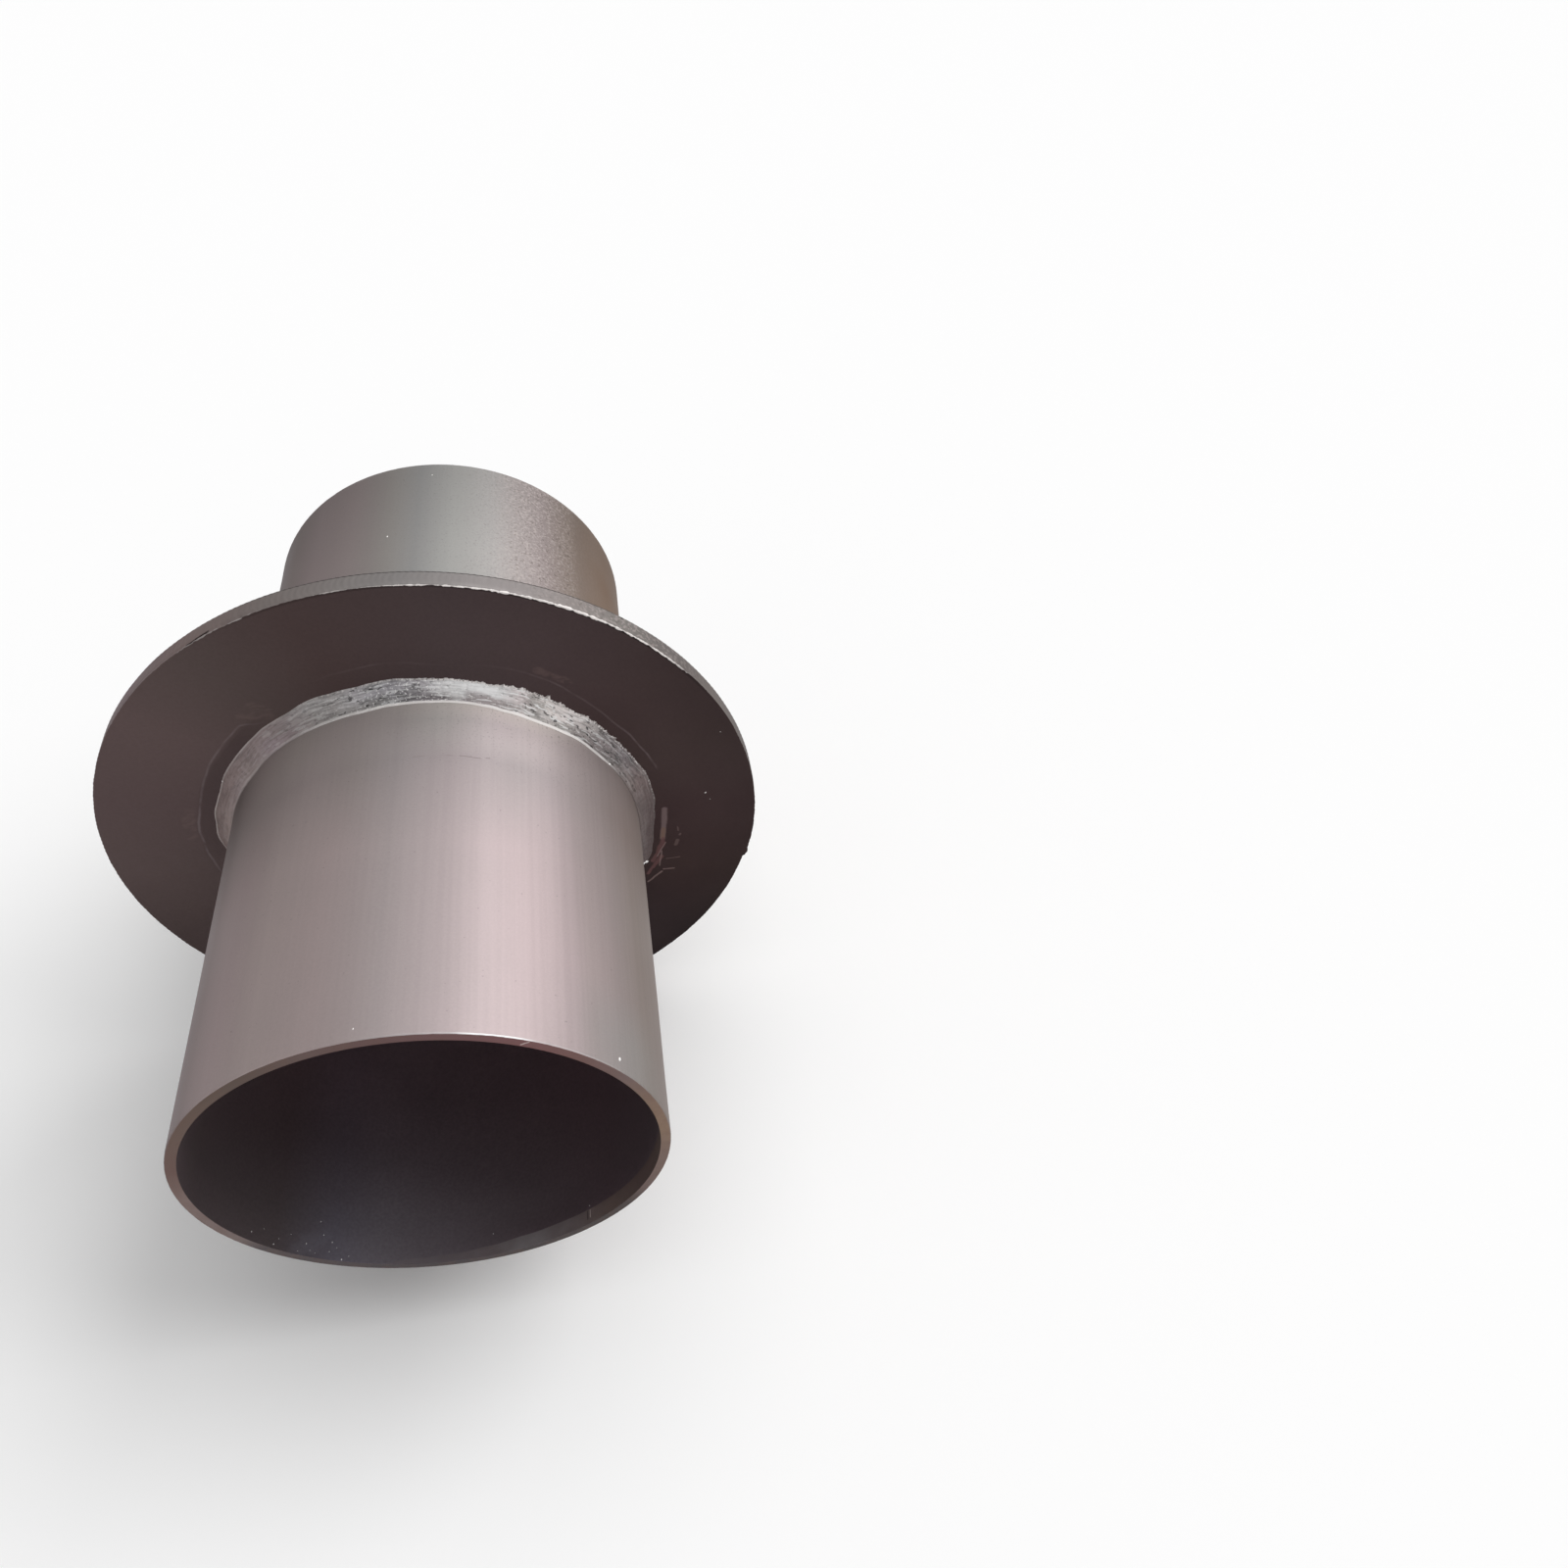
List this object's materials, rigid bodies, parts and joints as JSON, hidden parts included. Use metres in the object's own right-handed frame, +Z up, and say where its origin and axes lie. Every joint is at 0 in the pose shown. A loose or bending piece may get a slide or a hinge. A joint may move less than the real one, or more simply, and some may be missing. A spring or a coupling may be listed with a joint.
{
  "type": "waterproof wall sleeve",
  "caption": "Short plain steel tube with a wide flat water-stop ring welded round its middle, to be cast into a concrete wall as a sealed way through for a pipe.",
  "frame": {"origin": "on the tube's axis, halfway through the water-stop ring, which is also halfway along the tube", "axes": "+Y runs along the bore from the front mouth to the rear end, level as it is cast into a wall, and +Z is up"},
  "size_m": [0.291, 0.335, 0.291],
  "materials": {
    "pipe_steel": "satin",
    "plate_steel": "matte",
    "weld_metal": "satin"
  },
  "bodies": {
    "root": {"sleeve_tube": "pipe_steel", "stop_ring": "plate_steel", "front_weld_bead": "weld_metal", "rear_weld_bead": "weld_metal"}
  },
  "joints": []
}
